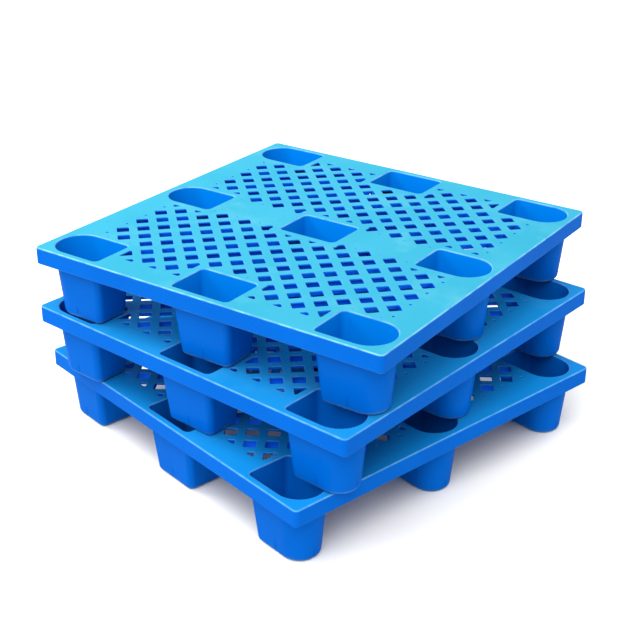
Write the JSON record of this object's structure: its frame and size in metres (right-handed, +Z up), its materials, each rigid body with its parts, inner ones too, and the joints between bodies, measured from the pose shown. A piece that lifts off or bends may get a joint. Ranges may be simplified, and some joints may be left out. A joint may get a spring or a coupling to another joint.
{
  "type": "plastic pallet stack",
  "caption": "Stack of square plastic nine-leg pallets with lattice decks, each standing turned on the one below; the upper ones lift off.",
  "frame": {"origin": "on the floor under the middle of the bottom pallet, at the middle of its centre foot", "axes": "+Z up; +X along the bottom pallet's rows of legs to the right; +Y towards its back edge"},
  "size_m": [1.2096, 1.2096, 0.534],
  "materials": {
    "pallet_plastic": "blue moulded polyethylene with a soft sheen"
  },
  "bodies": {
    "bottom_pallet": {"bottom_pallet_deck": "pallet_plastic", "bottom_pallet_rim": "pallet_plastic", "bottom_pallet_ribs": "pallet_plastic", "bottom_pallet_leg_front_left": "pallet_plastic", "bottom_pallet_leg_front_centre": "pallet_plastic", "bottom_pallet_leg_front_right": "pallet_plastic", "bottom_pallet_leg_middle_left": "pallet_plastic", "bottom_pallet_leg_centre": "pallet_plastic", "bottom_pallet_leg_middle_right": "pallet_plastic", "bottom_pallet_leg_back_left": "pallet_plastic", "bottom_pallet_leg_back_centre": "pallet_plastic", "bottom_pallet_leg_back_right": "pallet_plastic"},
    "middle_pallet": {"middle_pallet_deck": "pallet_plastic", "middle_pallet_rim": "pallet_plastic", "middle_pallet_ribs": "pallet_plastic", "middle_pallet_leg_front_left": "pallet_plastic", "middle_pallet_leg_front_centre": "pallet_plastic", "middle_pallet_leg_front_right": "pallet_plastic", "middle_pallet_leg_middle_left": "pallet_plastic", "middle_pallet_leg_centre": "pallet_plastic", "middle_pallet_leg_middle_right": "pallet_plastic", "middle_pallet_leg_back_left": "pallet_plastic", "middle_pallet_leg_back_centre": "pallet_plastic", "middle_pallet_leg_back_right": "pallet_plastic"},
    "top_pallet": {"top_pallet_deck": "pallet_plastic", "top_pallet_rim": "pallet_plastic", "top_pallet_ribs": "pallet_plastic", "top_pallet_leg_front_left": "pallet_plastic", "top_pallet_leg_front_centre": "pallet_plastic", "top_pallet_leg_front_right": "pallet_plastic", "top_pallet_leg_middle_left": "pallet_plastic", "top_pallet_leg_centre": "pallet_plastic", "top_pallet_leg_middle_right": "pallet_plastic", "top_pallet_leg_back_left": "pallet_plastic", "top_pallet_leg_back_centre": "pallet_plastic", "top_pallet_leg_back_right": "pallet_plastic"}
  },
  "joints": [
    {"name": "middle_pallet_lift", "type": "slide", "parent": "bottom_pallet", "child": "middle_pallet", "axis": [0, 0, 1], "range_m": [0, 0.25]},
    {"name": "top_pallet_lift", "type": "slide", "parent": "middle_pallet", "child": "top_pallet", "axis": [0, 0, 1], "range_m": [0, 0.25]}
  ]
}
